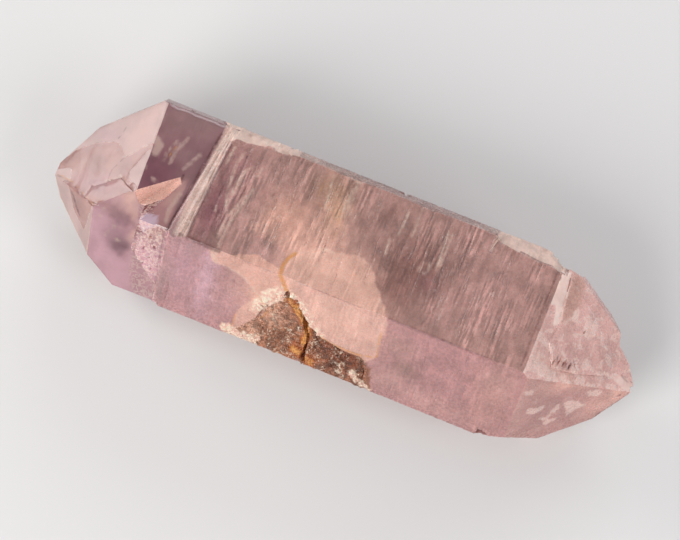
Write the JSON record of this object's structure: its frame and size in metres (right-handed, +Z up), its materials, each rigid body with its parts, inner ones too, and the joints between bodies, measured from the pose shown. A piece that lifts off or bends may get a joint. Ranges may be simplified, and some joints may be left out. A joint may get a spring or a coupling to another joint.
{
  "type": "double-terminated amethyst crystal",
  "caption": "Long six-sided quartz crystal with a point at each end, a stepped clear head and a broken contact scar, lying on a flat side.",
  "frame": {"origin": "middle of the box at the level of the face that the crystal lies on", "axes": "+X along the crystal's long axis towards its frosted point, +Z up out of the broad top face, +Y to the back"},
  "size_m": [0.0964, 0.0288, 0.0231],
  "materials": {
    "amethyst": "satin natural faces, milky mauve with peach iron stain"
  },
  "bodies": {
    "root": {"amethyst_crystal": "amethyst"}
  },
  "joints": []
}
